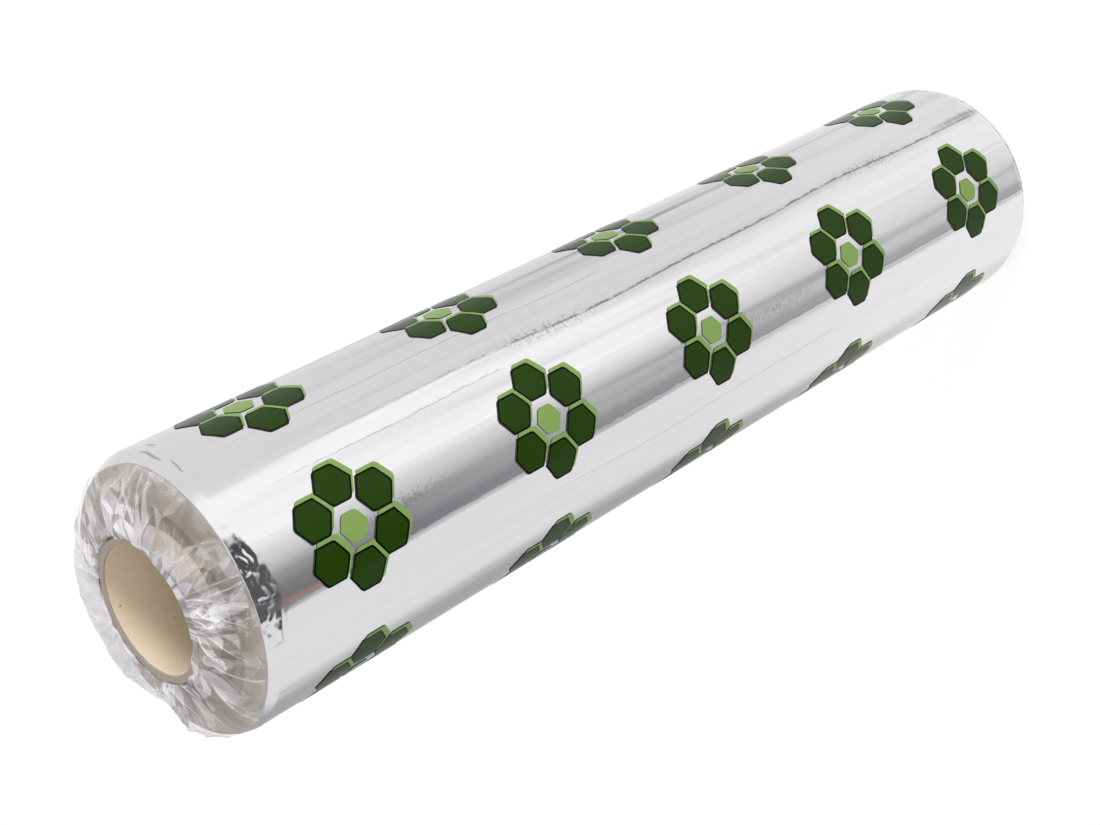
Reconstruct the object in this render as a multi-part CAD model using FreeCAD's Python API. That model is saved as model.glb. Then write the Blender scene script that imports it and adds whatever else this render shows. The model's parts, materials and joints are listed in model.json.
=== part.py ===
import FreeCAD, Part
import math
import os

# A wide catering roll of aluminium foil in clear film, standing on the bottom end of its core.
# Millimetres, Z up along the roll's axis, origin at the centre of the core's bottom end.

# The foil, wound tight on the core.
web_width = 450.0
roll_diameter = 100.0
rim_round = 0.8

# The turns do not end level: those near the core lie deeper, and the rest stand in shallow bands.
deep_turns_diameter = 66.0
deep_turns_depth = 0.8
turn_band_width = 2.0
turn_band_height = 0.25

# The core, a paper tube that stands out of the winding at both ends.
core_bore = 46.0
core_wall = 2.7
core_proud = 9.0
core_edge_round = 0.3

# The film, one sheet lapped along its length, with both ends gathered in pleats towards the core.
film_thickness = 0.3
film_clearance = 0.35
lap_width = 24.0
lap_angle = -114.0
pleat_count = 40
pleat_depth = 3.6
pleat_unevenness = 0.28
valley_unevenness = 0.18
pleat_sway = 0.22
ring_count = 6
hem_unevenness = 2.4
hem_lift = 1.4

# The top hem lies over part of the core's end, short of the bore; the bottom hem stays off the floor.
cover_setback = 1.1
cover_angle = -107.0
cover_spread = 48.0
floor_clearance = 0.5

# Steps in radians from one band or pleat to the next, which make each size vary unevenly.
band_step = 2.4
ridge_step = 2.3
valley_step = 3.7
sway_step = 1.9
depth_step = 4.1
lift_step = 2.9
hem_step = 1.3

core_length = web_width + 2 * core_proud
core_radius = core_bore / 2 + core_wall
roll_radius = roll_diameter / 2
film_radius = roll_radius + film_clearance
hem_radius = core_radius + film_clearance
cover_radius = core_bore / 2 + cover_setback


def varied(low, high, step, i):
    """An uneven value between low and high for the band or pleat number i."""
    return low + (high - low) * (0.5 + 0.5 * math.sin(step * i))


def revolved(points):
    """Solid of revolution about Z of a closed outline of (radius, height) points."""
    outline = Part.makePolygon([FreeCAD.Vector(r, 0, z) for r, z in points + points[:1]])
    return Part.Face(outline).revolve(FreeCAD.Vector(0, 0, 0), FreeCAD.Vector(0, 0, 1), 360)


def make_core():
    tube = revolved([
        (core_bore / 2, 0),
        (core_radius, 0),
        (core_radius, core_length),
        (core_bore / 2, core_length),
    ])
    end_edges = [
        edge for edge in tube.Edges
        if edge.Closed and isinstance(edge.Curve, Part.Circle)
    ]
    return tube.makeFillet(core_edge_round, end_edges).Solids[0]


def end_outline():
    """The winding's end from the core outwards, as (radius, depth below the foil's edge)."""
    band_total = max(2, round((roll_radius - rim_round - core_radius) / turn_band_width))
    band = (roll_radius - rim_round - core_radius) / band_total
    points = []
    for i in range(band_total):
        inner = core_radius + i * band
        level = varied(0.0, turn_band_height, band_step, i)
        if inner + band / 2 < deep_turns_diameter / 2:
            level += deep_turns_depth
        points += [(inner, level), (inner + band, level)]
    return points + [(roll_radius, rim_round + turn_band_height)]


def make_winding():
    profile = end_outline()
    bottom = [(r, core_proud + depth) for r, depth in profile]
    top = [(r, core_proud + web_width - depth) for r, depth in reversed(profile)]
    return revolved(bottom + top)


def pleat_columns():
    """Ridge and valley lines round the film as (angle, sway, depth, lift), from the lap's edge."""
    pitch = 2 * math.pi / pleat_count
    start = math.radians(lap_angle)
    ridges = [
        start + pitch * (i + varied(-pleat_unevenness, pleat_unevenness, ridge_step, i))
        for i in range(pleat_count)
    ]
    ridges.append(ridges[0] + 2 * math.pi)
    columns = []
    for i in range(pleat_count):
        between = 0.5 + varied(-valley_unevenness, valley_unevenness, valley_step, i)
        valley = ridges[i] + between * (ridges[i + 1] - ridges[i])
        sway = pitch * varied(-pleat_sway, pleat_sway, sway_step, i)
        depth = varied(0.2 * pleat_depth, pleat_depth, depth_step, i)
        lift = varied(0.0, hem_lift, lift_step, i)
        columns += [(ridges[i], sway, 0.0, lift), (valley, sway, depth, 0.0)]
    return columns


def cover(angle):
    """How far the top hem lies over the core's end at an angle, from 0 to 1."""
    turn = math.remainder(angle - math.radians(cover_angle), 2 * math.pi)
    return math.exp(-(turn / math.radians(cover_spread)) ** 4)


def gathered_ring(share, out, height, top_end):
    """Points round the gathered end at a share of the way from rim to hem, out from its middle.

    The section is a quarter of an ellipse. Each valley sinks in along the section's normal and
    comes back at the hem, where the top end's ridges stand up a little.
    """
    points = []
    turn = share * math.pi / 2
    for i, (angle, sway, depth, lift) in enumerate(pleat_columns()):
        over = cover(angle) if top_end else 0.0
        open_hem = hem_radius + film_thickness + varied(0.0, hem_unevenness, hem_step, i)
        hem = open_hem * (1 - over) + cover_radius * over
        reach = film_radius + film_thickness / 2 - hem
        sink = out - depth * math.sin(math.pi * share ** 1.2) * (1 - over)
        if top_end:
            sink += lift * share ** 3
        normal = FreeCAD.Vector(height * math.cos(turn), reach * math.sin(turn), 0).normalize()
        lap = math.remainder(angle - math.radians(lap_angle), 2 * math.pi) * film_radius
        if out > 0 and 0 < lap < lap_width:
            sink += film_thickness
        radius = hem + reach * math.cos(turn) + sink * normal.x
        where = angle + sway * share
        points.append(FreeCAD.Vector(
            radius * math.cos(where),
            radius * math.sin(where),
            height * math.sin(turn) + sink * normal.y,
        ))
    return points


def film_rings(out):
    """Rings of the film's outer or inner face, from the bottom hem to the top hem."""
    shares = [i / ring_count for i in range(ring_count + 1)]
    bottom_height = core_proud - floor_clearance - film_thickness * 1.5
    top_height = core_proud + film_clearance + film_thickness / 2
    rings = []
    for share in reversed(shares):
        ring = gathered_ring(share, out, bottom_height, False)
        rings.append([FreeCAD.Vector(p.x, p.y, core_proud - p.z) for p in ring])
    for share in shares:
        ring = gathered_ring(share, out, top_height, True)
        rings.append([FreeCAD.Vector(p.x, p.y, core_proud + web_width + p.z) for p in ring])
    return rings


def make_film():
    rings = film_rings(film_thickness / 2) + film_rings(-film_thickness / 2)[::-1]
    columns = len(rings[0])
    points = [point for ring in rings for point in ring]
    triangles = []
    for k in range(len(rings)):
        for j in range(columns):
            a = k * columns + j
            b = k * columns + (j + 1) % columns
            c = (k + 1) % len(rings) * columns + (j + 1) % columns
            d = (k + 1) % len(rings) * columns + j
            triangles += [(a, b, c), (a, c, d)]
    shell = Part.Shape()
    shell.makeShapeFromMesh((points, triangles), 0.001, True)
    return Part.Solid(Part.Shell(shell.Faces))


nodes = {
    "core_tube": make_core(),
    "foil_winding": make_winding(),
    "film_wrap": make_film(),
}

os.makedirs("parts", exist_ok=True)
for name, shape in nodes.items():
    box = shape.BoundBox
    print(name, shape.ShapeType, shape.isValid(), round(shape.Volume), round(box.ZMin, 2), round(box.ZMax, 2))
    shape.exportStep(os.path.join("parts", name + ".step"))
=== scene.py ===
import json
from math import cos, pi, radians, sin

import bpy
import numpy as np
from mathutils import Matrix, Vector


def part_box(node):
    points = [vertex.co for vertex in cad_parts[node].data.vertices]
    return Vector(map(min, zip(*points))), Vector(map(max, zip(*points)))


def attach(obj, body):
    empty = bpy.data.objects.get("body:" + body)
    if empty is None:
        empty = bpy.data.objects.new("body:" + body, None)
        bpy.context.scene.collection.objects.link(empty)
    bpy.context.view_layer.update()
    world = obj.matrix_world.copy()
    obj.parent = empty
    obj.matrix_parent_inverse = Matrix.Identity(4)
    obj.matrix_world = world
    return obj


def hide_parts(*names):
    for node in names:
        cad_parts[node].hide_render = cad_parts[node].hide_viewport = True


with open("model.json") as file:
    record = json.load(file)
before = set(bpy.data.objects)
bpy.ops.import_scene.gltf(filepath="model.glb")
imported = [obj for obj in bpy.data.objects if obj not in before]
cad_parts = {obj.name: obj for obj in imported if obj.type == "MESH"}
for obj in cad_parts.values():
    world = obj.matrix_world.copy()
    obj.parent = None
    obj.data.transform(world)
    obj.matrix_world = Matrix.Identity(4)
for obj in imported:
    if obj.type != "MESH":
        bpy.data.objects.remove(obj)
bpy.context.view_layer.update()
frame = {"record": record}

mm = 0.001
coreLow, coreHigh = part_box("core_tube")
foilLow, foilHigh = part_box("foil_winding")
coreRadius = coreHigh[0]
coreBottom, coreTop = coreLow[2], coreHigh[2]
rollRadius = foilHigh[0]
rimBottom, rimTop = foilLow[2], foilHigh[2]
rollLength = rimTop - rimBottom
coreBore = frame["record"]["mounts"][0]["dims"]["r_mm"] * mm
lapTurn = radians(-114)  # the film's free edge, seen as the sharp line along the roll


def linear(red, green, blue):
    # a colour as seen on screen, 0 to 255, in the linear values that shaders take
    shares = np.array([red, green, blue]) / 255
    bright = ((shares + 0.055) / 1.055) ** 2.4
    return (*np.where(shares <= 0.04045, shares / 12.92, bright), 1.0)


def smooth(low, high, x):
    # 3t^2 - 2t^3 with t going from 0 at low to 1 at high
    t = np.clip((x - low) / (high - low), 0, 1)
    return t * t * (3 - 2 * t)


def turnFrom(turn, middle):
    # signed angle from middle to turn, from -pi to pi
    return (turn - middle + pi) % (2 * pi) - pi


def bump(turn, middle, spread):
    # exp(-(angle / spread)^4), a flat-topped hump round the roll
    return np.exp(-((turnFrom(turn, middle) / spread) ** 4))


def waves(turn, along, count, roundWaves, alongRate, seed):
    # sum of cos(n turn + k along + phase) over its root; whole numbers n close it round the roll
    rng = np.random.default_rng(seed)
    total = np.zeros(np.broadcast(turn, along).shape)
    for _ in range(count):
        n = rng.integers(roundWaves[0], roundWaves[1] + 1)
        k = rng.uniform(-alongRate, alongRate)
        total += np.cos(n * turn + k * along + rng.uniform(0, 2 * pi))
    return total / count ** 0.5


def facets(turn, along, cellsRound, cellsAlong, seed, warp=0.42):
    # flat facets with straight creases: random heights at the corners of a bent net of cells, each
    # cell split into two flat triangles; also gives one random tone for each triangle
    rng = np.random.default_rng(seed)
    bends = (7, (2, cellsRound // 3), 7)
    u = turn / (2 * pi) * cellsRound + warp * waves(turn, along, *bends, seed + 1)
    v = along * cellsAlong + 1 + warp * waves(turn, along, *bends, seed + 2)
    v = np.clip(v, 0, cellsAlong + 2.999)
    i, j = np.floor(v).astype(int), np.floor(u).astype(int)
    fv, fu = v - i, u - j
    j, right = j % cellsRound, (j + 1) % cellsRound
    corner = rng.uniform(-1, 1, (cellsAlong + 4, cellsRound))
    lower, upper = rng.uniform(0, 1, (2, cellsAlong + 4, cellsRound))
    split = rng.random((cellsAlong + 4, cellsRound)) < 0.5
    a, b, c, d = corner[i, j], corner[i, right], corner[i + 1, j], corner[i + 1, right]
    slash = np.where(fu > fv, a + fu * (b - a) + fv * (d - b), a + fv * (c - a) + fu * (d - c))
    below = a + fu * (b - a) + fv * (c - a)
    above = d + (1 - fu) * (c - d) + (1 - fv) * (b - d)
    height = np.where(split[i, j], slash, np.where(fu + fv < 1, below, above))
    first = np.where(split[i, j], fu > fv, fu + fv < 1)
    return height, np.where(first, lower[i, j], upper[i, j])


def gridMesh(name, points, closedRows=False, closedColumns=True, uv=None, marks=None):
    # one quad for each step of points[row, column]; rows run up the outside, so that faces look out;
    # uv and marks are given for each point
    rows, columns = points.shape[:2]
    rowSteps = rows if closedRows else rows - 1
    columnSteps = columns if closedColumns else columns - 1
    i, j = np.meshgrid(np.arange(rowSteps), np.arange(columnSteps), indexing="ij")
    row, nextRow, nextColumn = i * columns, (i + 1) % rows * columns, (j + 1) % columns
    corners = [row + j, row + nextColumn, nextRow + nextColumn, nextRow + j]
    corners = np.stack(corners, axis=-1).reshape(-1, 4)
    mesh = bpy.data.meshes.new(name)
    mesh.vertices.add(rows * columns)
    mesh.vertices.foreach_set("co", points.astype(np.float32).ravel())
    mesh.loops.add(corners.size)
    mesh.loops.foreach_set("vertex_index", corners.astype(np.int32).ravel())
    mesh.polygons.add(len(corners))
    mesh.polygons.foreach_set("loop_start", np.arange(0, corners.size, 4, dtype=np.int32))
    mesh.polygons.foreach_set("use_smooth", np.ones(len(corners), dtype=bool))
    for key, values in (marks or {}).items():
        layer = mesh.attributes.new(key, "FLOAT", "POINT")
        layer.data.foreach_set("value", values.astype(np.float32).ravel())
    mesh.update(calc_edges=True)
    if uv is not None:
        layer = mesh.uv_layers.new(name="wrap")
        layer.data.foreach_set("uv", uv.reshape(-1, 2)[corners.ravel()].astype(np.float32).ravel())
    piece = bpy.data.objects.new(name, mesh)
    bpy.context.scene.collection.objects.link(piece)
    return piece


def roundPoints(radius, turn, z):
    # x = radius cos(turn), y = radius sin(turn)
    return np.stack([radius * np.cos(turn), radius * np.sin(turn), z], axis=-1)


def newMaterial(name):
    material = bpy.data.materials.new(name)
    material.use_nodes = True
    tree = material.node_tree
    tree.nodes.clear()
    return material, tree


def feed(tree, value, socket):
    # a number or a colour is the socket's own value; anything else is linked to it
    if isinstance(value, (int, float, tuple)):
        socket.default_value = value
    else:
        tree.links.new(value, socket)


def newNode(tree, kind, inputs):
    node = tree.nodes.new("ShaderNode" + kind)
    for key, value in inputs.items():
        feed(tree, value, node.inputs[key])
    return node


def setSurface(tree, shader, kind="Material"):
    newNode(tree, "Output" + kind, {"Surface": shader.outputs[0]})


def calc(tree, operation, a, b=0.0, c=0.0):
    node = tree.nodes.new("ShaderNodeMath")
    node.operation = operation
    for socket, value in zip(node.inputs, (a, b, c)):
        feed(tree, value, socket)
    return node.outputs[0]


def times(tree, first, *others):
    for value in others:
        first = calc(tree, "MULTIPLY", first, value)
    return first


def plus(tree, first, *others):
    for value in others:
        first = calc(tree, "ADD", first, value)
    return first


def less(tree, a, b):
    return calc(tree, "SUBTRACT", a, b)


def ramp(tree, value, low, high, start=0.0, end=1.0):
    inputs = {"Value": value, "From Min": low, "From Max": high, "To Min": start, "To Max": end}
    return newNode(tree, "MapRange", inputs).outputs["Result"]


def mixColour(tree, factor, a, b):
    node = tree.nodes.new("ShaderNodeMix")
    node.data_type = "RGBA"
    for key, value in (("Factor", factor), ("A", a), ("B", b)):
        feed(tree, value, node.inputs[key])
    return node.outputs["Result"]


def attribute(tree, name):
    node = tree.nodes.new("ShaderNodeAttribute")
    node.attribute_name = name
    return node.outputs["Fac"]


def objectCoords(tree):
    return newNode(tree, "TexCoord", {}).outputs["Object"]


def parts(tree, vector):
    return newNode(tree, "SeparateXYZ", {"Vector": vector}).outputs[:3]


def fromAxis(tree, x, y):
    return calc(tree, "SQRT", plus(tree, times(tree, x, x), times(tree, y, y)))


def noise(tree, vector, scale, detail=2.0, rough=0.5):
    inputs = {"Vector": vector, "Scale": scale, "Detail": detail, "Roughness": rough}
    return newNode(tree, "TexNoise", inputs).outputs["Fac"]


def stretched(tree, vector, scale):
    return newNode(tree, "Mapping", {"Vector": vector, "Scale": scale}).outputs["Vector"]


def bumpFrom(tree, height, distance, strength):
    inputs = {"Height": height, "Distance": distance, "Strength": strength}
    return newNode(tree, "Bump", inputs).outputs["Normal"]


camera = dict(
    place=(0.0, -0.54376, 0.73184),
    right=(-0.4724, -0.5646, -0.6768),
    up=(0.8814, -0.2955, -0.3687),
    lens=60.3,
    sensor=36.0,
    clip=(0.01, 50),
)


def makeCamera():
    # at the photograph's angle
    lens = bpy.data.cameras.new("photoCamera")
    lens.lens, lens.sensor_width = camera["lens"], camera["sensor"]
    lens.clip_start, lens.clip_end = camera["clip"]
    body = bpy.data.objects.new("photoCamera", lens)
    bpy.context.scene.collection.objects.link(body)
    right = Vector(camera["right"]).normalized()
    back = right.cross(Vector(camera["up"])).normalized()
    axes = Matrix((right, back.cross(right), back)).transposed()
    body.matrix_world = Matrix.Translation(camera["place"]) @ axes.to_4x4()
    bpy.context.scene.camera = body
    bpy.context.scene.view_settings.view_transform = "Standard"


# each entry named waves holds the count, the range of whole waves round the roll, the rate along it
# and the seed
foil = dict(
    columns=540,
    rowSteps=(31, 60, 16),  # points up the top rim, the side and the bottom rim
    close=12 * mm,  # the depth that gets the finest rows
    shoulder=1.3 * mm,  # how far the rim is pressed in
    shoulderWidth=4.2 * mm,
    shoulderPower=1.35,
    shoulderWaves=(9, (2, 14), 1, 10),
    wideTurn=radians(-108),  # the film has pressed in a wider strip here
    wideSpread=radians(19),
    wider=4.6 * mm,
    crushTurn=radians(8),  # the rim is crushed further here
    crushSpread=radians(32),
    crush=1.8 * mm,
    notchTurn=radians(138),  # and is pushed in sharply just before this turn
    notchStart=(-0.40, -0.14),
    notchEnd=(-0.035, 0.0),
    notch=2.9 * mm,
    bottomShift=-0.7,  # the bottom rim is crushed this many radians further on, and less
    bottomShare=0.4,
    ripple=0.035 * mm,  # soft lengthwise waves in the outer turn
    rippleWaves=(18, (6, 26), 22, 11),
    fineRipple=0.3,  # the share of the ripple that is in the finer waves
    fineWaves=(18, (30, 80), 45, 17),
    # a long crease sways by these angles in radians, at these rates in radians for each metre
    sway=(0.022, 23),
    tremor=(0.009, 61),
    # long creases: turn in degrees, rise and half width in mm
    creases=(
        (-63.7, 0.20, 1.5), (-113.2, 0.10, 0.9), (-46, 0.05, 1.2),
        (-31, 0.06, 1.6), (-84, 0.05, 1.1), (20, 0.08, 1.4),
        (74, 0.12, 1.5), (131, 0.07, 1.2), (168, 0.1, 1.5),
    ),
    # weak creases here and there: how many, seed, reach, half width and largest rise in mm, lean
    weakCreases=(44, 18, (40, 150), (0.9, 2.6), 0.05, 0.25),
    # facets in the rim, full round crumpleTurn and faint elsewhere: cells round the roll and down the
    # close strip, seed, and how far the net is bent
    crumple=0.5 * mm,
    crumpleDepth=5.0 * mm,
    crumpleTurn=radians(-99),
    crumpleSpread=radians(18),
    crumpleFaint=0.05,
    crumpleCells=(92, 5, 12, 0.6),
    fineCrumple=0.45,
    fineCrumpleCells=(190, 10, 15, 0.6),
    # short tucks that run in from the rim: how many, seed, reach, half width and largest rise in mm,
    # lean
    tucks=(70, 16, (5, 17), (0.9, 2.4), 0.10, 0.05),
    # short creases that run round the rim: middle and half spread in degrees, then depth, half width
    # and rise in mm
    dents=(
        (-31, 8, 4.0, 1.2, -0.3), (-23, 2.6, 9.5, 1.2, -0.35),
        (-45, 5, 6.0, 0.7, -0.2), (-118, 7, 6.5, 0.6, 0.2),
    ),
    # dark lines along the roll: turn in degrees, first and last depth in metres, half width in mm,
    # strength
    lines=(
        (-63.7, 0.05, 0.45, 0.7, 0.75), (-64.6, 0.1, 0.45, 2.6, 0.16), (-61.5, 0.41, 0.452, 2.2, 0.6),
        (-48, 0.01, 0.2, 0.4, 0.35), (-72, 0.02, 0.13, 0.45, 0.4), (-31, 0.12, 0.33, 0.5, 0.22),
        (-128, 0.1, 0.3, 0.4, 0.2), (60, 0.1, 0.4, 0.5, 0.5), (131, 0, 0.3, 0.4, 0.4),
    ),
    deepRadius=33 * mm,
    deepStep=0.8 * mm,
    faceSteps=(44, 22),  # points across the top and the bottom face
    faceRound=0.25 * mm,
    band=0.12 * mm,
    bandWaves=(14, (1, 4), 2600, 21),
    turnsDark=linear(177, 169, 155),
    turnsLight=linear(212, 206, 194),
    turnsWarm=linear(190, 175, 146),
    # painted shade for the deeper turns, and a painted shadow line along their step
    deepTurnsShade=linear(150, 134, 98),
    stepShadow=linear(128, 106, 70),
    bright=linear(247, 247, 248),
    brightStreak=linear(236, 236, 239),
    # painted shade along the fine crinkles
    crinkleShade=linear(118, 118, 126),
    dentShade=linear(104, 103, 112),
    creaseShade=linear(96, 95, 103),
)


def creaseSway(depth, k):
    # the angle by which the long crease number k strays from a straight line
    (sway, swayRate), (tremor, tremorRate) = foil["sway"], foil["tremor"]
    return sway * np.sin(depth * swayRate + 2 * k) + tremor * np.sin(depth * tremorRate + k)


def foilSide(turn, depth):
    # distance from the axis of the outer turn: the roll's radius, less press * (1 - edge / wide)^p at
    # the rims, plus waves, creases, facets and tucks; depth is measured down from the top rim
    edge = np.minimum(depth, rollLength - depth)
    turn = turn + 0 * depth
    atBottom = depth > rollLength / 2
    atEnd = turn + foil["bottomShift"] * atBottom
    share = 1 - (1 - foil["bottomShare"]) * atBottom
    crush = bump(atEnd, foil["crushTurn"], foil["crushSpread"])
    fromNotch = turnFrom(atEnd, foil["notchTurn"])
    notch = smooth(*foil["notchStart"], fromNotch) * (1 - smooth(*foil["notchEnd"], fromNotch))
    press = foil["shoulder"] + share * (foil["crush"] * crush + foil["notch"] * notch)
    uneven = 0.12 * waves(atEnd, 0 * edge, *foil["shoulderWaves"])
    wide = foil["shoulderWidth"] * (1 + 0.5 * crush + notch + uneven)
    wide = wide + share * foil["wider"] * bump(atEnd, foil["wideTurn"], foil["wideSpread"])
    radius = rollRadius - press * np.clip(1 - edge / wide, 0, 1) ** foil["shoulderPower"]
    radius = radius + foil["ripple"] * waves(turn, depth, *foil["rippleWaves"])
    radius = radius + foil["fineRipple"] * foil["ripple"] * waves(turn, depth, *foil["fineWaves"])
    for k, (degrees, rise, width) in enumerate(foil["creases"]):
        line = radians(degrees) + creaseSway(depth, k)
        across = turnFrom(turn, line) * rollRadius / (width * mm)
        fade = smooth(0.01, 0.07, edge) * (0.55 + 0.45 * np.sin(depth * 17 + 3 * k))
        skew = 0.5 * np.sin(depth * 37 + k)
        fold = np.clip(1 - np.abs(across) * (1 + skew * np.sign(across)), 0, 1)
        radius = radius + rise * mm * fade * fold
    count, seed, reaches, widths, largest, leaning = foil["weakCreases"]
    rng = np.random.default_rng(seed)
    for middle in rng.uniform(-pi, pi, count):
        start, reach = rng.uniform(0, rollLength), rng.uniform(*reaches) * mm
        width, rise = rng.uniform(*widths) * mm, rng.uniform(-largest, largest) * mm
        line = middle + rng.normal(0, leaning) * (depth - start)
        fold = np.clip(1 - np.abs(turnFrom(turn, line)) * rollRadius / width, 0, 1)
        fade = np.exp(-(((depth - start) / reach) ** 2)) * smooth(0, 0.03, edge)
        radius = radius + rise * fold * fade
    faint = foil["crumpleFaint"]
    seen = faint + (1 - faint) * bump(atEnd, foil["crumpleTurn"], foil["crumpleSpread"])
    folds, _ = facets(atEnd, edge / foil["close"], *foil["crumpleCells"])
    fineFolds, _ = facets(atEnd, edge / foil["close"], *foil["fineCrumpleCells"])
    folds = folds + foil["fineCrumple"] * fineFolds
    reach = 0.6 * foil["crumpleDepth"] + 0.5 * wide
    near = np.exp(-((edge / reach) ** 4)) * smooth(0, 1.4 * mm, edge)
    radius = radius + foil["crumple"] * share * seen * near * folds
    count, seed, reaches, widths, largest, leaning = foil["tucks"]
    rng = np.random.default_rng(seed)
    for middle in rng.uniform(-pi, pi, count):
        width, reach = rng.uniform(*widths) * mm, rng.uniform(*reaches) * mm
        lean = rng.normal(0, leaning) * edge / reach
        fold = np.clip(1 - np.abs(turnFrom(turn, middle + lean)) * rollRadius / width, 0, 1)
        rise = rng.uniform(-largest, largest) * mm
        radius = radius + rise * fold * np.clip(1 - edge / reach, 0, 1)
    for middle, spread, deep, width, rise in foil["dents"]:
        radius = radius + rise * mm * dent(turn, edge, middle, spread, deep, width)
    return radius


def dent(turn, edge, middle, spread, deep, width):
    # a crease that runs round the rim, 1 on its wavy line and 0 at its half width
    wave = 0.6 * np.sin(9 * turn) + 0.2 * np.sin(31 * turn + deep)
    wave = wave + 2.2 * turnFrom(turn, radians(middle))
    line = np.abs(edge - (deep + wave) * mm) / (width * mm)
    return np.clip(1 - line, 0, 1) * bump(turn, radians(middle), radians(spread))


def crinkled(turn, depth):
    # where the film has creased the foil finely: patches along the first long crease and another line
    lineA = radians(foil["creases"][0][0]) + creaseSway(depth, 0)
    lineB = radians(-101) + 0.05 * np.sin(depth * 14 + 1)
    nearA = np.exp(-((turnFrom(turn, lineA) / 0.055) ** 2))
    nearB = np.exp(-((turnFrom(turn, lineB) / 0.05) ** 2))
    patchA = np.clip(np.sin(depth * 31 - 3.3), 0, 1) ** 3
    patchB = np.clip(np.sin(depth * 31 - 0.3), 0, 1) ** 4
    return np.clip(nearA * patchA + 0.8 * nearB * patchB, 0, 1) * smooth(0.03, 0.07, depth)


def sideDepths(steps):
    # depths down the side, with the finest rows within the close strips at both rims
    close, (top, middle, bottom) = foil["close"], steps
    return np.concatenate([
        np.linspace(0, close, top)[:-1],
        np.linspace(close, rollLength - close, middle),
        rollLength - np.linspace(0, close, bottom)[:-1][::-1],
    ])[:, None]


def makeFoil():
    # rows: bottom face outwards, up the side, top face inwards, closed along the core
    turn = lapTurn + np.linspace(0, 2 * pi, foil["columns"], endpoint=False)[None, :]
    depth = sideDepths(foil["rowSteps"])
    side = foilSide(turn, depth)
    height = np.broadcast_to(rimTop - depth, side.shape)

    def endFace(outer, count):
        share = np.linspace(0, 1, count)[:, None] ** 0.9
        reach = coreRadius + share * (outer - foil["faceRound"] - coreRadius)
        bands = foil["band"] * (waves(reach * 0, reach, *foil["bandWaves"]) + 1)
        pastStep = smooth(-0.35 * mm, 0.35 * mm, reach - foil["deepRadius"])
        return reach, (bands + foil["deepStep"] * (1 - pastStep)) * (share < 1)

    topReach, topLevel = endFace(side[0], foil["faceSteps"][0])
    lowReach, lowLevel = endFace(side[-1], foil["faceSteps"][1])
    top = np.stack([topReach, rimTop - topLevel], axis=-1)[::-1]
    bottom = np.stack([lowReach, rimBottom + lowLevel], axis=-1)
    section = np.concatenate([bottom, np.stack([side, height], axis=-1)[::-1], top])
    points = roundPoints(section[..., 0], turn, section[..., 1])
    dents = np.max([dent(turn, depth, *values[:4]) for values in foil["dents"]], axis=0)

    def onSide(values):
        return np.concatenate([0 * lowReach, values[::-1], 0 * topReach])

    marks = {
        "endFace": 1 - onSide(np.ones(side.shape)),
        "crinkle": onSide(crinkled(turn, depth)),
        "shade": onSide(dents),
    }
    return gridMesh("foilWinding", points, closedRows=True, marks=marks)


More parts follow.
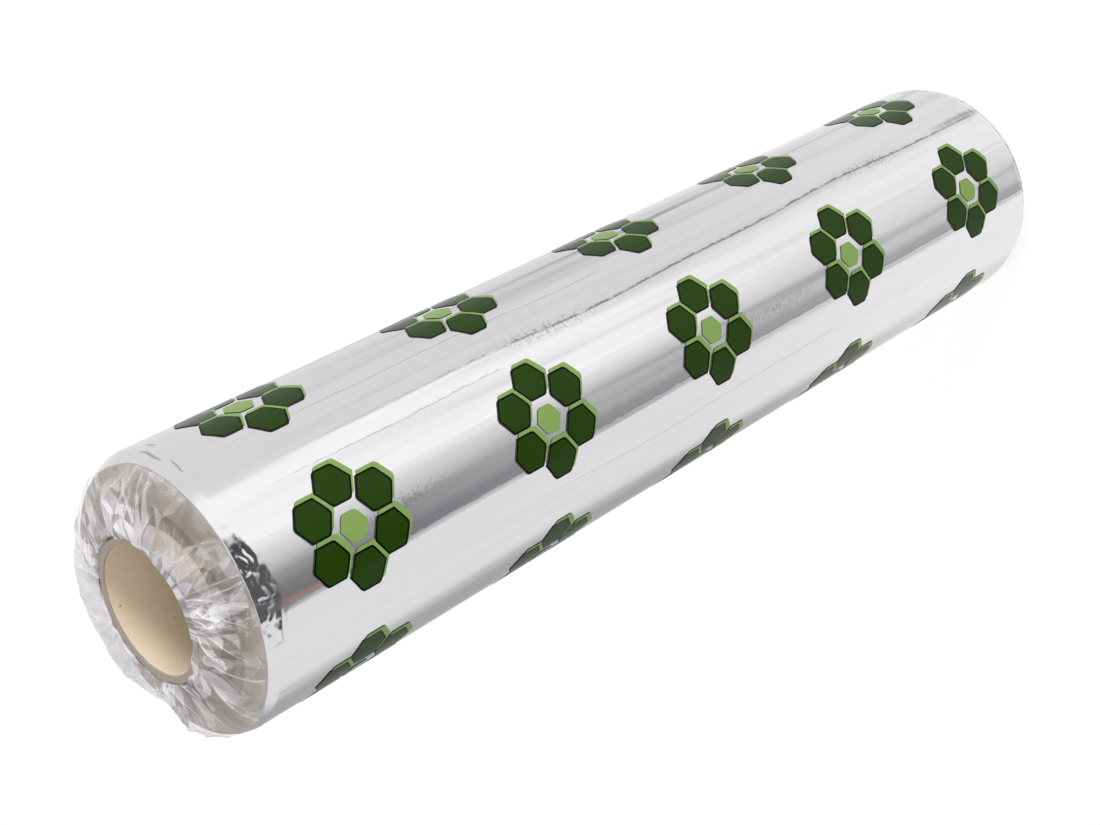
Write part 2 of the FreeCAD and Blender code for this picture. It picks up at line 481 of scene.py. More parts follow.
def foilMaterial():
    material, tree = newMaterial("brightFoil")
    coords = objectCoords(tree)
    x, y, z = parts(tree, coords)
    face = attribute(tree, "endFace")
    crinkle = attribute(tree, "crinkle")
    radius = fromAxis(tree, x, y)
    outwards = newNode(tree, "CombineXYZ", {"X": radius}).outputs[0]
    rings = noise(tree, outwards, 2600, 3, 0.7)
    cloud = noise(tree, coords, 60, 3)
    streak = noise(tree, stretched(tree, coords, (1, 1, 0.06)), 240, 3, 0.6)
    fine = noise(tree, stretched(tree, coords, (1, 1, 1.4)), 640, 4, 0.7)

    # the end faces: the turns' edges, with painted shade where they lie deeper and a painted shadow
    # line along the step
    ends = mixColour(tree, rings, foil["turnsDark"], foil["turnsLight"])
    ends = mixColour(tree, ramp(tree, cloud, 0.45, 0.7, 0, 0.5), ends, foil["turnsWarm"])
    deep = ramp(tree, radius, foil["deepRadius"] + 0.5 * mm, foil["deepRadius"] - 0.6 * mm)
    ends = mixColour(tree, times(tree, deep, 0.6), ends, foil["deepTurnsShade"])
    # a painted shadow line along the step
    fromStep = calc(tree, "ABSOLUTE", less(tree, radius, foil["deepRadius"]))
    ends = mixColour(tree, ramp(tree, fromStep, 0.0, 0.9 * mm, 0.65, 0), ends, foil["stepShadow"])

    side = mixColour(tree, streak, foil["brightStreak"], foil["bright"])
    # painted shade along the fine crinkles where the film has creased the foil
    crinkleShadeLines = times(tree, ramp(tree, fine, 0.47, 0.60), crinkle, 0.62)
    side = mixColour(tree, crinkleShadeLines, side, foil["crinkleShade"])
    shade = ramp(tree, attribute(tree, "shade"), 0.25, 0.8, 0, 0.6)
    side = mixColour(tree, shade, side, foil["dentShade"])

    # thin dark creases: how far the surface is from a wandering line along the roll
    depth = less(tree, rimTop, z)
    jag = noise(tree, stretched(tree, coords, (0.05, 0.05, 1)), 260, 4, 0.7)
    wander = times(tree, jag, 0.04)
    for angle, rate in (foil["sway"], foil["tremor"]):
        wave = calc(tree, "SINE", times(tree, depth, rate))
        wander = plus(tree, wander, times(tree, wave, angle))
    straight = less(tree, calc(tree, "ARCTAN2", y, x), wander)
    patchy = ramp(tree, jag, 0.30, 0.58, 0.25, 1.0)
    for degrees, start, end, width, strength in foil["lines"]:
        off = calc(tree, "ABSOLUTE", less(tree, straight, radians(degrees) - 0.02))
        off = times(tree, off, rollRadius / mm)
        fade = 0.3 * (end - start)
        line = times(tree, ramp(tree, off, 0.25 * width, width, strength, 0), patchy)
        line = times(tree, line, ramp(tree, depth, start, start + fade))
        line = times(tree, line, ramp(tree, depth, end - 0.1 * fade, end, 1, 0))
        side = mixColour(tree, line, side, foil["creaseShade"])

    height = plus(tree, times(tree, streak, 0.6), times(tree, rings, face))
    height = plus(tree, height, times(tree, fine, crinkle, 7.0))
    shader = newNode(tree, "BsdfPrincipled", {
        "Base Color": mixColour(tree, face, side, ends),
        "Metallic": ramp(tree, face, 0, 1, 1.0, 0.25),
        "Roughness": plus(tree, ramp(tree, streak, 0.3, 0.8, 0.07, 0.16), times(tree, face, 0.45)),
        "Normal": bumpFrom(tree, height, 0.05 * mm, 0.35),
    })
    setSurface(tree, shader)
    return material


core = dict(
    columns=256,
    rows=(5, 60, 8),  # points round a corner, up a wall and across an end
    closeRow=0.4 * mm,  # from a corner to the wall's next row, so that the cut ends' mark stays short
    edgeRound=0.35 * mm,
    ragged=0.08 * mm,
    raggedWaves=(16, (12, 70), 4000, 31),
    outOfRound=0.036 * mm,
    spiralPitch=78 * mm,
    ply=0.55 * mm,
    boardDark=linear(227, 212, 188),
    boardLight=linear(238, 226, 205),
    boardFibre=linear(214, 194, 160),
    seamShade=linear(150, 125, 92),
    speck=linear(120, 92, 66),
    endDark=linear(156, 142, 133),
    endLight=linear(188, 174, 162),
    endFibre=linear(134, 119, 109),
)


def makeCore():
    # a ring section carried round the axis: bottom corner, outside up, top end, bore down, bottom end
    turn = np.linspace(0, 2 * pi, core["columns"], endpoint=False)[None, :]
    r, closeRow = core["edgeRound"], core["closeRow"]
    cornerRows, wallRows, endRows = core["rows"]
    inner, outer, low, high = coreBore, coreRadius, coreBottom, coreTop
    arc = np.linspace(0, pi / 2, cornerRows)
    middle = np.linspace(low + r + closeRow, high - r - closeRow, wallRows - 2)
    rise = np.concatenate([[low + r], middle, [high - r]])
    across = np.linspace(inner + r, outer - r, endRows)
    radius = np.concatenate([
        outer - r + r * np.sin(arc), np.full(wallRows, outer),
        outer - r + r * np.cos(arc), across[::-1],
        inner + r - r * np.sin(arc), np.full(wallRows, inner),
        inner + r - r * np.cos(arc), across,
    ])[:, None]
    height = np.concatenate([
        low + r - r * np.cos(arc), rise,
        high - r + r * np.sin(arc), np.full(endRows, high),
        high - r + r * np.cos(arc), rise[::-1],
        low + r - r * np.sin(arc), np.full(endRows, low),
    ])[:, None]
    cut = np.where((height > high - 1.2 * r) | (height < low + 1.2 * r), 1.0, 0.0)
    plies = 0.5 + 0.5 * np.cos((radius - inner) * 2 * pi / core["ply"])
    fray = 0.5 * plies + 0.5 * waves(turn, radius, *core["raggedWaves"])
    fray = core["ragged"] * cut * fray
    height = height - np.abs(fray) * np.sign(height - (low + high) / 2)
    wall = radius + core["outOfRound"] * np.cos(2 * turn + 0.6) * smooth(0.02, 0, high - height)
    points = roundPoints(wall, turn, height + 0 * turn)
    return gridMesh("coreTube", points, closedRows=True, marks={"cutEnd": cut + 0 * turn})


def coreMaterial():
    material, tree = newMaterial("coreBoard")
    coords = objectCoords(tree)
    x, y, z = parts(tree, coords)
    cut = attribute(tree, "cutEnd")
    fibre = noise(tree, stretched(tree, coords, (1, 1, 0.5)), 900, 4, 0.65)
    cloud = noise(tree, coords, 35, 3)
    speck = ramp(tree, noise(tree, coords, 330, 1), 0.76, 0.80)
    # the plies' seams run as a helix: turn share minus height over pitch
    share = calc(tree, "DIVIDE", calc(tree, "ARCTAN2", y, x), 2 * pi)
    helix = less(tree, share, calc(tree, "DIVIDE", z, core["spiralPitch"]))
    seam = calc(tree, "ABSOLUTE", less(tree, calc(tree, "FRACT", helix), 0.5))
    seam = ramp(tree, seam, 0.0, 0.006, 1, 0)
    ply = calc(tree, "SINE", times(tree, fromAxis(tree, x, y), 2 * pi / core["ply"]))

    board = mixColour(tree, cloud, core["boardDark"], core["boardLight"])
    board = mixColour(tree, ramp(tree, fibre, 0.35, 0.75, 0, 0.35), board, core["boardFibre"])
    board = mixColour(tree, times(tree, seam, 0.04), board, core["seamShade"])
    board = mixColour(tree, times(tree, speck, 0.7), board, core["speck"])
    ends = mixColour(tree, ramp(tree, ply, -1, 1), core["endDark"], core["endLight"])
    ends = mixColour(tree, ramp(tree, fibre, 0.4, 0.7, 0, 0.4), ends, core["endFibre"])
    height = plus(tree, less(tree, fibre, times(tree, seam, 0.5)), times(tree, ply, cut, 0.8))
    shader = newNode(tree, "BsdfPrincipled", {
        "Base Color": mixColour(tree, cut, board, ends),
        "Roughness": ramp(tree, fibre, 0.2, 0.8, 0.55, 0.75),
        "Specular IOR Level": 0.35,
        "Normal": bumpFrom(tree, height, 0.08 * mm, 0.5),
    })
    setSurface(tree, shader)
    return material


film = dict(
    columns=680,  # in one turn
    rowSteps=(25, 15, 9),
    gatherRows=(62, 20),  # at the top and the bottom end
    off=0.22 * mm,  # how far the film stands off the foil
    flat=(0.341, 0.520),
    lapWidth=24 * mm,
    lapRise=0.12 * mm,
    hemOff=0.45 * mm,
    hemUneven=1.1 * mm,
    hemWaves=(9, (3, 19), 1),
    hemSeed=41,
    hemRise=0.35 * mm,  # above the core's end
    floorGap=0.8 * mm,  # from the floor to the bottom hem
    conePower=1.25,  # p in the rounded cone of a gathered end
    bulgeTurn=radians(82),  # the top end is puffed up here
    bulgeSpread=radians(38),
    bulge=1.0 * mm,
    bulgePower=0.9,
    notch=3.2 * mm,
    notchStart=(-0.42, -0.10),
    notchLean=0.23,  # the notch leans away from the rim by this many radians
    flap=1.8 * mm,  # how far the film stands out just past the notch
    # facets of three sizes: height, then cells round the roll and from rim to hem, and seed
    facets=((1.3 * mm, 24, 2, 61), (0.36 * mm, 52, 4, 71), (0.03 * mm, 150, 13, 81)),
    highest=2.4 * mm,  # the height towards which folds and facets level off
    foldSeed=51,
    # long pleats from rim to hem: how many, lean, and half width and rise in mm
    pleats=(20, 0.12, (2, 4), (-0.9, 0.9)),
    # folds that spread from points at the hem or at the rim: how many points, folds from each, lean,
    # where a fold starts or ends from rim to hem, and half width and rise in mm
    hemFans=(15, 6, 0.40, (0.15, 0.75), (0.9, 2.4), (-0.5, 0.9)),
    rimFans=(15, 4, 0.26, (0.35, 0.9), (0.8, 2.0), (-0.4, 0.7)),
    crestWidth=0.40 * mm,
    coverTurn=radians(-100),  # the hem is drawn over the core's end here
    coverSpread=radians(67),
    coverWaves=(8, (4, 16), 1, 48),
    intoBore=1.4 * mm,
    tailRows=8,
    lipWaves=(10, (5, 30), 1, 46),
    # the facets' haze, in a painted shaded tone and a painted lit tone
    hazeShaded=linear(134, 125, 137),
    hazeLit=linear(243, 240, 243),
    # creases: partly the film's own whitening in its folds and partly a painted highlight
    creaseWhiteAndGlint=linear(250, 248, 248),
    lapTint=linear(128, 126, 132),
    stripShade=linear(112, 106, 114),
    stripBrown=linear(160, 130, 126),
    brownDepths=(5, 12, 26, 60),  # in mm below the rim, where the brown comes and goes
)


def foldLines(rng):
    # lines from (turn, share) to (turn, share), each with a half width and a rise
    lines = []
    count, spread, widths, rises = film["pleats"]
    for middle in rng.uniform(-pi, pi, count):
        lean = rng.normal(0, spread)
        width, rise = rng.uniform(*widths) * mm, rng.uniform(*rises) * mm
        lines.append((middle + lean, -0.02, middle, 1.1, width, rise))
    for key in ("hemFans", "rimFans"):
        count, strands, spread, tips, widths, rises = film[key]
        for middle in rng.uniform(-pi, pi, count):
            for lean in rng.uniform(-spread, spread, strands):
                tip = rng.uniform(*tips)
                width, rise = rng.uniform(*widths) * mm, rng.uniform(*rises) * mm
                if key == "hemFans":
                    lines.append((middle + lean, tip, middle, 1.08, width, rise))
                else:
                    lines.append((middle, -0.05, middle + lean, tip, width, rise))
    return lines


def straightFolds(turn, share, radius, seed):
    # each fold is rise * (1 - distance from its line / half width); also gives where creases show
    height = np.zeros(np.broadcast(turn, share).shape)
    crest = np.zeros_like(height)
    for turnA, shareA, turnB, shareB, width, rise in foldLines(np.random.default_rng(seed)):
        t = (share - shareA) / (shareB - shareA)
        inside = np.clip(4 * t, 0, 1) * np.clip(4 * (1 - t), 0, 1)
        away = turnFrom(turn, turnA + t * (turnB - turnA)) * radius
        height += rise * inside * np.clip(1 - np.sqrt(away ** 2 + (0.12 * mm) ** 2) / width, 0, 1)
        sharp = np.clip(1 - np.abs(away) / film["crestWidth"], 0, 1)
        crest = np.maximum(crest, inside * sharp * np.clip(0.35 + rise / mm, 0, 1))
    return height, crest


def bentCreases(height, radius, share, size):
    # where the sheet bends sharply: a point's height less the mean of its neighbours, over the step
    stepRound = radius * 2 * pi / film["columns"]
    stepAlong = np.gradient(share[:, 0])[:, None] * pi / 2 * size
    around = height - (np.roll(height, 1, axis=1) + np.roll(height, -1, axis=1)) / 2
    along = np.zeros_like(height)
    along[1:-1] = height[1:-1] - (height[2:] + height[:-2]) / 2
    bent = np.abs(around) / stepRound + np.abs(along) / stepAlong
    return np.clip(bent / 0.34, 0, 1) ** 2


def gatheredEnd(turn, share, top):
    # a rounded cone from rim to hem, r = hem + reach cos^p t and z = rise sin^p t, with flat facets
    # and straight folds standing along its normal
    side = foilSide(turn, 0 * share) + film["off"]
    uneven = 0.5 + 0.5 * waves(turn, 0 * share, *film["hemWaves"], film["hemSeed"] + top)
    hem = coreRadius + film["hemOff"] + np.clip(film["hemUneven"] * uneven, 0, None)
    rise = coreTop - rimTop + film["hemRise"] if top else rimBottom - film["floorGap"]
    full = bump(turn, film["bulgeTurn"], film["bulgeSpread"]) * top
    power = film["conePower"] + (film["bulgePower"] - film["conePower"]) * full
    t = share * pi / 2
    radius = hem + (side - hem) * np.cos(t) ** power
    out = rise * np.sin(t) ** power
    slopeR = -(side - hem) * np.sin(t)
    slopeZ = rise * np.cos(t)
    size = np.sqrt(slopeR ** 2 + slopeZ ** 2)
    normalR, normalZ = slopeZ / size, -slopeR / size

    height, crest = straightFolds(turn, share, radius, film["foldSeed"] + top)
    tones = []
    for tall, cellsRound, cellsAlong, seed in film["facets"]:
        flat, tone = facets(turn, share, cellsRound, cellsAlong, seed + top)
        height = height + tall * flat
        tones.append(tone)
    height = film["highest"] * np.tanh(height / film["highest"]) * (1 - 0.4 * full)
    bent = bentCreases(height, radius, share, size)
    # a painted highlight line where the film turns round the rim
    rimHighlight = 0.5 * (1 - smooth(0.0, 0.045, share)) * (1 - full)
    crest = np.clip(np.maximum(np.maximum(crest, 0.75 * bent), rimHighlight), 0, 1)
    # each facet's random tone stands in for how the facet catches light as well as for its milkiness:
    # it picks between the painted shaded haze and the painted lit haze; the bulge and the bottom end
    # lean to the lit haze
    tone = 0.35 * tones[0] + 0.5 * tones[1] + 0.1
    tone = tone + (0.95 - tone) * (0.65 * full if top else 0.5)
    calm = smooth(0, 0.12, share) * (1 - 0.7 * smooth(0.84, 1.0, share))
    height = height * calm
    if not top:
        height = -np.abs(height * smooth(0.05, 0.4, share))
        return radius + height * normalR, out + height * normalZ, crest, tone

    notchTurn = foil["notchTurn"] + film["notchLean"] * smooth(0, 0.4, share)
    fromNotch = turnFrom(turn, notchTurn)
    inNotch = smooth(*film["notchStart"], fromNotch) * (1 - smooth(*foil["notchEnd"], fromNotch))
    past = smooth(0.0, 0.03, fromNotch) * (1 - smooth(0.14, 0.5, fromNotch))
    swell = film["bulge"] * full - film["notch"] * inNotch + film["flap"] * past
    height = height + swell * np.sin(pi * np.clip(share, 0, 1) ** 0.62)
    # the notch's fold is white as well, partly a painted highlight
    crest = np.maximum(crest, 0.5 * np.exp(-((fromNotch / 0.02) ** 2)) * calm)
    return radius + height * normalR, out + height * normalZ, crest, tone


def makeFilm():
    # rows from the bottom hem, up the sleeve, to the top hem
    turn = lapTurn + np.linspace(0, 2 * pi, film["columns"], endpoint=False)[None, :]
    topRows, lowRows = film["gatherRows"]
    shareTop = np.linspace(0, 1, topRows + 1)[1:, None] ** 0.95
    shareBottom = np.linspace(0, 1, lowRows + 1)[1:, None]
    depth = sideDepths(film["rowSteps"])
    side = foilSide(turn, depth) + film["off"]
    height = rimTop - depth + 0 * turn
    topR, topZ, topCrest, topTone = gatheredEnd(turn, shareTop, 1)
    lowR, lowZ, lowCrest, lowTone = gatheredEnd(turn, shareBottom, 0)
    topZ, lowZ = rimTop + topZ, rimBottom - lowZ

    # the top hem is drawn over the core's end and into the bore, or tucked down outside it
    tail = np.linspace(0, 1, film["tailRows"] + 1)[1:, None]
    cover = bump(turn, film["coverTurn"], film["coverSpread"])
    ragged = waves(turn, 0 * tail[:1], *film["coverWaves"]) * (cover > 0.03) * (cover < 0.97)
    cover = np.clip(cover + 0.30 * ragged, 0, 1)
    lip = 0.5 + 0.5 * waves(turn, 0 * tail, *film["lipWaves"])
    overR = topR[-1] + (coreBore - 0.25 * mm - topR[-1]) * smooth(0, 0.75, tail)
    drop = film["intoBore"] * (0.5 + 0.6 * lip)
    overZ = coreTop + film["hemRise"] - drop * smooth(0.62, 1, tail)
    tuckR = topR[-1] - 0.2 * mm * tail
    tuckZ = topZ[-1] - (0.5 + 1.0 * lip) * mm * tail
    tailR = tuckR + (overR - tuckR) * cover
    tailZ = tuckZ + (overZ - tuckZ) * smooth(0.15, 0.6, cover)

    def joined(low, middle, high, end):
        return np.concatenate([low[::-1], middle[::-1], high, end + 0 * tailR])

    radius = joined(lowR, side, topR, tailR)
    z = joined(lowZ, height, topZ, tailZ)
    overCore = (radius < coreRadius + 0.3 * mm) & (radius > coreBore - 0.1 * mm) & (z > rimTop)
    z = np.where(overCore, np.maximum(z, coreTop + 0.15 * mm), z)
    z = np.clip(z, 0.4 * mm, None)
    gather = joined(shareBottom + 0 * turn, 0 * side, shareTop + 0 * turn, 1)
    crest = joined(lowCrest, 0 * side, topCrest, 0.5 * lip)
    tone = joined(lowTone, 0 * side, topTone, topTone[-1])

    # the sheet is open along its lap: its first strip lies over its last one
    over = round(film["lapWidth"] / (2 * pi * rollRadius) * film["columns"])
    around = np.concatenate([np.arange(film["columns"]), np.arange(over + 1)])
    column = np.arange(len(around))
    first = column < film["columns"]
    lifted = film["lapRise"] * (1 - smooth(over, over * 1.25, column)) * first
    turn, radius, z, gather = turn[:, around], radius[:, around], z[:, around], gather[:, around]
    atTop, atFoot = z > rimTop, z < rimBottom
    z = z + lifted * atTop * gather
    z = z + film["lapRise"] * atFoot * gather * ~first
    points = roundPoints(radius + lifted, turn, z)
    u = column / film["columns"] + 0 * radius
    v = (z - coreBottom) / (coreTop - coreBottom)
    marks = {"gather": gather, "crest": crest[:, around], "tone": tone[:, around]}
    return gridMesh("filmWrap", points, closedColumns=False, uv=np.stack([u, v], axis=-1), marks=marks)


mark = dict(
    across=63.4,  # spacing round the roll, in mm
    repeats=5,
    along=91.0,
    startAcross=17.7,
    startAlong=-6.5,
    ring=14.9,  # from the middle to the middle of each dark hexagon
    half=6.8,  # half its width across the flats
    middle=5.0,
    rounding=1.5,
    outline=0.75,
    blur=0.06,
    shade=(1.3, -1.6),
    darkGreen=linear(28, 54, 0),
    black=linear(2, 6, 1),
    lightGreen=linear(117, 146, 79),
)


def markGroup():
    # six dark hexagons round a light one: the distance to a hexagon's edge is the largest of its
    # three distances across the flats, less half a width
    tree = bpy.data.node_groups.new("printedMark", "ShaderNodeTree")
    tree.interface.new_socket("Across", in_out="INPUT", socket_type="NodeSocketFloat")
    tree.interface.new_socket("Along", in_out="INPUT", socket_type="NodeSocketFloat")
    tree.interface.new_socket("Colour", in_out="OUTPUT", socket_type="NodeSocketColor")
    tree.interface.new_socket("Ink", in_out="OUTPUT", socket_type="NodeSocketFloat")
    start, end = tree.nodes.new("NodeGroupInput"), tree.nodes.new("NodeGroupOutput")

    def cell(value, pitch):
        share = calc(tree, "FRACT", calc(tree, "DIVIDE", value, pitch))
        return times(tree, less(tree, share, 0.5), pitch)

    def hexagon(a, b, half):
        flat = calc(tree, "ABSOLUTE", a)
        slant = times(tree, calc(tree, "ABSOLUTE", b), cos(pi / 6))
        slant = plus(tree, slant, times(tree, flat, 0.5))
        return less(tree, calc(tree, "SMOOTH_MAX", flat, slant, mark["rounding"]), half)

    def fromRing(a, b):
        # the angle is folded into one sixth of the turn, where one hexagon stands
        angle = calc(tree, "PINGPONG", calc(tree, "ARCTAN2", b, a), pi / 6)
        away = fromAxis(tree, a, b)
        along = less(tree, times(tree, away, calc(tree, "COSINE", angle)), mark["ring"])
        return hexagon(along, times(tree, away, calc(tree, "SINE", angle)), mark["half"])

    def inside(distance, edge=0.0):
        return ramp(tree, distance, edge - mark["blur"], edge + mark["blur"], 1, 0)

    x, y = cell(start.outputs[0], mark["across"]), cell(start.outputs[1], mark["along"])
    dark = fromRing(x, y)
    shadow = fromRing(less(tree, x, mark["shade"][0]), less(tree, y, mark["shade"][1]))
    middle = hexagon(x, y, mark["middle"])
    colour = mixColour(tree, inside(dark), mark["lightGreen"], mark["black"])
    colour = mixColour(tree, inside(dark, -mark["outline"]), colour, mark["darkGreen"])
    ink = calc(tree, "MAXIMUM", inside(dark), inside(shadow))
    ink = calc(tree, "MAXIMUM", ink, inside(middle))
    tree.links.new(colour, end.inputs[0])
    tree.links.new(ink, end.inputs[1])
    return tree


def filmMaterial():
    material, tree = newMaterial("clearFilm")
    uv = newNode(tree, "UVMap", {})
    uv.uv_map = "wrap"
    u, v, _ = parts(tree, uv.outputs[0])
    # millimetres from the lap's edge round the roll, and up from the core's foot
    across = times(tree, u, mark["repeats"] * mark["across"])
    along = times(tree, v, (coreTop - coreBottom) / mm)
    gather, crest, tone = (attribute(tree, name) for name in ("gather", "crest", "tone"))
    onSleeve = ramp(tree, gather, 0.001, 0.01, 1, 0)
    atEnds = ramp(tree, gather, 0.0, 0.12)
    printed = tree.nodes.new("ShaderNodeGroup")
    printed.node_tree = markGroup()
    feed(tree, plus(tree, across, mark["startAcross"]), printed.inputs["Across"])
    feed(tree, plus(tree, along, mark["startAlong"]), printed.inputs["Along"])
    ink = times(tree, printed.outputs[1], onSleeve)

    coords = objectCoords(tree)
    cloud = noise(tree, coords, 110, 4, 0.6)
    cells = newNode(tree, "TexVoronoi", {"Vector": coords, "Scale": 230})
    cells.feature = "DISTANCE_TO_EDGE"
    fine = ramp(tree, cells.outputs["Distance"], 0.0, 0.06, 1, 0)

    # gathered film: each facet has its own milkiness, more towards the core, and creases are white,
    # partly the film's own whitening in its folds and partly a painted highlight standing in for
    # glints
    # painted shade and light: the facets' random tones pick between a shaded and a lit haze
    haze = mixColour(tree, tone, film["hazeShaded"], film["hazeLit"])
    haze = mixColour(tree, crest, haze, film["creaseWhiteAndGlint"])

    # the lap: a wandering edge, a tint where the film is double, and a strip of shade along the
    # edge, brown for a short way from the top rim
    wander = noise(tree, stretched(tree, coords, (0.02, 0.02, 1)), 70, 5, 0.7)
    teeth = noise(tree, stretched(tree, coords, (0.1, 0.1, 1)), 420, 3, 0.6)
    wander = plus(tree, times(tree, wander, 2.4), times(tree, teeth, 1.5))
    pastEdge = less(tree, across, wander)
    lapEdge = ramp(tree, calc(tree, "ABSOLUTE", pastEdge), 0.10, 0.35, 1, 0)
    lapEdge = times(tree, lapEdge, onSleeve)
    lapWidth = film["lapWidth"] / mm
    tint = times(tree, ramp(tree, across, lapWidth, 0.6 * lapWidth), onSleeve)
    haze = mixColour(tree, tint, haze, film["lapTint"])
    strip = times(tree, ramp(tree, pastEdge, 0.0, 0.25), ramp(tree, pastEdge, 2.6, 6.0, 1, 0))
    strip = times(tree, strip, onSleeve)
    fromRim = less(tree, (rimTop - coreBottom) / mm, along)
    comes, full, goes, gone = film["brownDepths"]
    brown = times(
        tree,
        ramp(tree, fromRim, comes, full),
        ramp(tree, fromRim, goes, gone, 1, 0),
        ramp(tree, pastEdge, 1.4, 3.2, 1, 0),
    )
    stripColour = mixColour(tree, brown, film["stripShade"], film["stripBrown"])
    haze = mixColour(tree, strip, haze, stripColour)
    colour = mixColour(tree, ink, haze, printed.outputs[0])

    milk = plus(
        tree,
        ramp(tree, tone, 0.25, 0.85, 0.06, 0.28),
        ramp(tree, gather, 0.32, 0.8, 0, 0.22),
        times(tree, ramp(tree, gather, 0.3, 0.7), ramp(tree, tone, 0.35, 0.7, 0, 0.40)),
        times(tree, crest, 0.6),
        ramp(tree, cloud, 0.3, 0.7, -0.05, 0.10),
    )
    see = plus(
        tree,
        times(tree, milk, atEnds),
        0.05,
        times(tree, tint, 0.08),
        times(tree, lapEdge, 0.30),
        times(tree, strip, ramp(tree, brown, 0, 1, 0.20, 0.48)),
    )
    see = calc(tree, "MINIMUM", calc(tree, "MAXIMUM", see, ink), 1.0)
    height = times(tree, plus(tree, times(tree, fine, 0.25), crest), atEnds)
    height = plus(tree, height, cloud)
    shader = newNode(tree, "BsdfPrincipled", {
        "Base Color": colour,
        "Alpha": see,
        "Roughness": plus(tree, ramp(tree, cloud, 0.2, 0.8, 0.10, 0.24), times(tree, atEnds, 0.12)),
        "IOR": 1.4,
        "Specular IOR Level": 0.15,
        "Normal": bumpFrom(tree, height, 0.15 * mm, 0.5),
    })
    setSurface(tree, shader)
    return material


studio = dict(
    floorSize=6.0,
    floorGlow=0.80,
    floorColour=(0.25, 0.25, 0.25, 1),
    worldForObject=0.60,
    cardReach=3.0,
    cardHeight=3.0,  # the cards turn up into walls where they end
    cardStep=0.25,  # in degrees
    cardRows=(36, 5),
    cardLift=0.3 * mm,
    cardSway=(7, 9, 3),  # degrees, rate and fade for each metre
    floorTone=0.98,  # at the roll's foot
    farTone=0.86,
    # name, the directions in degrees between which a card is full, how soft its two ends are, its
    # tone, its strength at the roll's foot, and the distances in metres between which it fills out
    cards=(
        ("upperWall", -32, 60, 6, 12, 0.80, 0.6, 0.0, 0.3),
        ("windowCard", -92, -36, 8, 4, 1.10, 0.0, 0.0, 0.35),
        ("darkGap", -138, -107, 3, 14, 0.20, 0.19, 0.0, 0.85),
        ("lowerShade", 96, 148, 24, 14, 0.42, 0.35, 0.0, 0.25),
        ("darkWall", -142, -74, 4, 10, 0.05, 0.0, 0.9, 1.3),
    ),
    # faint streaks: directions, half width and drift in degrees, middle and reach in metres, tone
    streaks=((-115, 75), (0.7, 4.0), (-22, 22), (0, 0.62), (0.06, 0.25), (-0.20, 0.06)),
    streakCount=60,
    streakSeed=5,
    lampAim=(0, 0, 0.25),
    # name, azimuth and elevation in degrees, distance and size in metres, power in watts
    lamps=(
        ("keyLamp", -48, 17, 1.5, 0.5, 13),
        ("fillLamp", -110, 34, 1.6, 0.8, 3),
        ("backLamp", 85, 24, 1.5, 0.9, 8),
    ),
)


def makeFloor():
    size = studio["floorSize"]
    corners = [(-size, -size, 0), (size, -size, 0), (size, size, 0), (-size, size, 0)]
    mesh = bpy.data.meshes.new("floor")
    mesh.from_pydata(corners, [], [(0, 1, 2, 3)])
    floor = bpy.data.objects.new("floor", mesh)
    bpy.context.scene.collection.objects.link(floor)
    material, tree = newMaterial("floorPaint")
    paint = newNode(tree, "BsdfDiffuse", {"Color": studio["floorColour"]})
    glow = newNode(tree, "Emission", {"Strength": studio["floorGlow"]})
    setSurface(tree, newNode(tree, "AddShader", {0: paint.outputs[0], 1: glow.outputs[0]}))
    mesh.materials.append(material)


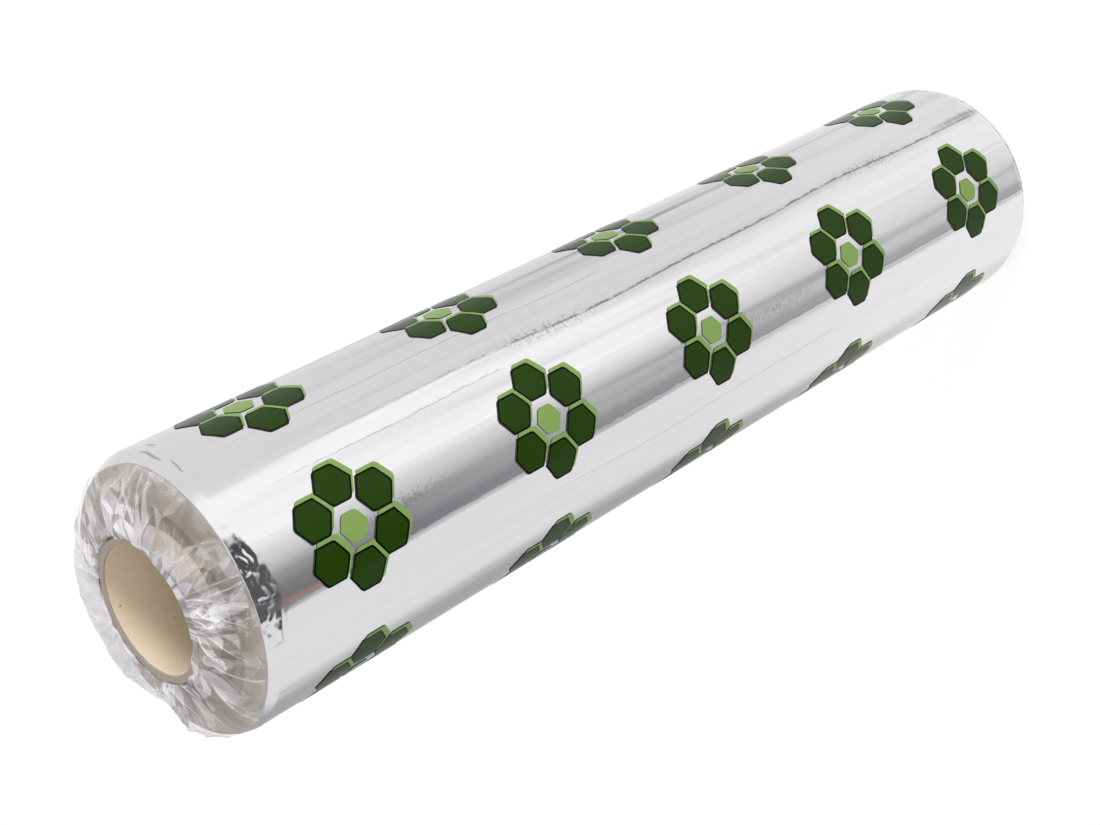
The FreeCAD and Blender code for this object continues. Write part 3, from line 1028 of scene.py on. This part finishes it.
def makeCards():
    # strips of card on the floor that only reflections see, each along the way that light from it
    # takes to the camera: from the roll's foot at angle a, in the direction 2a + 90 degrees
    step, reach = studio["cardStep"], studio["cardReach"]
    flatRows, wallRows = studio["cardRows"]
    turn = np.radians(np.arange(-180, step, step))[None, :]
    away = np.linspace(0, 1, flatRows)[:, None] ** 1.7 * reach + 0.5 * mm
    wall = np.linspace(0, studio["cardHeight"], wallRows)[1:, None]
    away = np.concatenate([away, away[-1:] + wall])
    heading = 2 * turn + pi / 2
    sway, swayRate, swayFade = studio["cardSway"]
    degrees = np.degrees(heading) + sway * np.sin(away * swayRate) * np.exp(-away * swayFade)
    tone = studio["farTone"] - studio["floorTone"]
    tone = studio["floorTone"] + tone * smooth(0.0, 0.3, away) + 0 * turn
    for _, start, end, softStart, softEnd, value, near, fillStart, fillEnd in studio["cards"]:
        inside = turnFrom(np.radians(degrees), radians((start + end) / 2))
        inside = np.degrees(inside) + (start + end) / 2
        part = smooth(start - softStart, start + softStart, inside)
        part = part * (1 - smooth(end - softEnd, end + softEnd, inside))
        part = part * (near + (1 - near) * smooth(fillStart, fillEnd, away))
        tone = tone + (value - tone) * part
    # the streaks run outwards and fade at both ends
    rng = np.random.default_rng(studio["streakSeed"])
    span, widths, drifts, middles, lengths, tones = studio["streaks"]
    for middle in rng.uniform(*span, studio["streakCount"]):
        width, drift = rng.uniform(*widths), rng.uniform(*drifts)
        centre, length = rng.uniform(*middles), rng.uniform(*lengths)
        beside = (degrees - middle - drift * (away - centre)) / width
        streak = np.exp(-(beside ** 2) - ((away - centre) / length) ** 2)
        tone = tone + rng.uniform(*tones) * streak
    foot = rollRadius + film["off"]
    flat = np.minimum(away, reach)
    x = foot * np.cos(turn) + flat * np.cos(heading)
    y = foot * np.sin(turn) + flat * np.sin(heading)
    points = np.stack([x, y, studio["cardLift"] + (away - flat) + 0 * x], axis=-1)
    cards = gridMesh("reflectedCards", points, closedColumns=False, marks={"tone": tone})
    material, tree = newMaterial("cardTone")
    setSurface(tree, newNode(tree, "Emission", {"Color": attribute(tree, "tone")}))
    cards.data.materials.append(material)
    for ray in ("camera", "diffuse", "transmission", "shadow", "volume_scatter"):
        setattr(cards, "visible_" + ray, False)


def makeWorld():
    # plain white to the camera and in reflections, dimmer as light on the object
    world = bpy.data.worlds.new("studioWorld")
    bpy.context.scene.world = world
    world.use_nodes = True
    tree = world.node_tree
    tree.nodes.clear()
    path = newNode(tree, "LightPath", {}).outputs
    seen = calc(tree, "MAXIMUM", path["Is Camera Ray"], path["Is Glossy Ray"])
    seen = calc(tree, "MAXIMUM", seen, path["Is Transmission Ray"])
    strength = ramp(tree, seen, 0, 1, studio["worldForObject"], 1.0)
    back = newNode(tree, "Background", {"Color": (1, 1, 1, 1), "Strength": strength})
    setSurface(tree, back, "World")


def makeLamp(name, azimuth, elevation, distance, size, power):
    lamp = bpy.data.lights.new(name, "AREA")
    lamp.shape, lamp.size, lamp.energy = "DISK", size, power
    body = bpy.data.objects.new(name, lamp)
    body.visible_glossy = False
    bpy.context.scene.collection.objects.link(body)
    a, e = radians(azimuth), radians(elevation)
    toLamp = Vector((cos(a) * cos(e), sin(a) * cos(e), sin(e)))
    body.location = Vector(studio["lampAim"]) + toLamp * distance
    body.rotation_mode = "QUATERNION"
    body.rotation_quaternion = toLamp.to_track_quat("Z", "Y")


makeCamera()
print("stage: floor, cards, lamps")
makeFloor()
makeCards()
makeWorld()
for values in studio["lamps"]:
    makeLamp(*values)

print("piece: core tube")
coreTube = makeCore()
coreTube.data.materials.append(coreMaterial())
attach(coreTube, "root")
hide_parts("core_tube")

print("piece: foil winding")
foilWinding = makeFoil()
foilWinding.data.materials.append(foilMaterial())
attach(foilWinding, "root")
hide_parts("foil_winding")

print("piece: film wrap")
filmWrap = makeFilm()
filmWrap.data.materials.append(filmMaterial())
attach(filmWrap, "root")
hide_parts("film_wrap")
